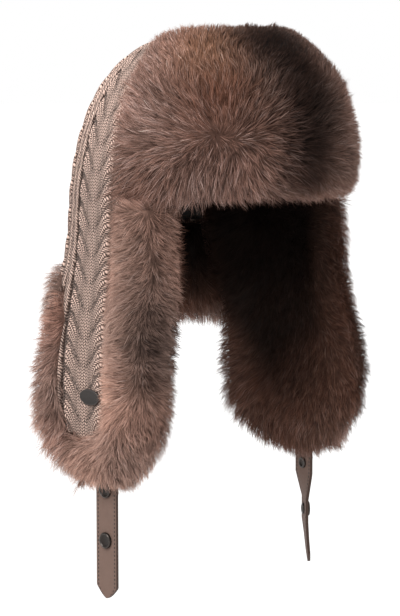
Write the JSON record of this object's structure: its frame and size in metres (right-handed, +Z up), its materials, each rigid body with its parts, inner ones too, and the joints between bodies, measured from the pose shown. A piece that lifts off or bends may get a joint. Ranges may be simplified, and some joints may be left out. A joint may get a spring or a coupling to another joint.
{
  "type": "fur-trimmed knitted trapper hat",
  "caption": "Cable-knit winter hat with turned-up fur brow, fur-lined ear flaps hanging down, and a snap strap under each flap.",
  "frame": {"origin": "inside top of the crown, where the wearer's head carries the hat", "axes": "+Z up, -Y the way the face looks, -X the wearer's right"},
  "size_m": [0.256, 0.2582, 0.4355],
  "materials": {
    "knit": "cable-knit wool, taupe",
    "lining": "black quilted satin",
    "fur": "deep brown fur, lighter at the tips",
    "suede": "taupe suede",
    "gunmetal": "satin gunmetal"
  },
  "bodies": {
    "root": {"knit_shell": "knit", "crown_lining": "lining", "badge": "gunmetal", "front_flap_fur": "fur", "nape_fur": "fur", "ear_fur_right": "fur", "ear_fur_left": "fur", "strap_right": "suede", "strap_left": "suede", "snap_right_upper": "gunmetal", "snap_right_lower": "gunmetal", "snap_left_upper": "gunmetal", "snap_left_lower": "gunmetal"}
  },
  "joints": []
}
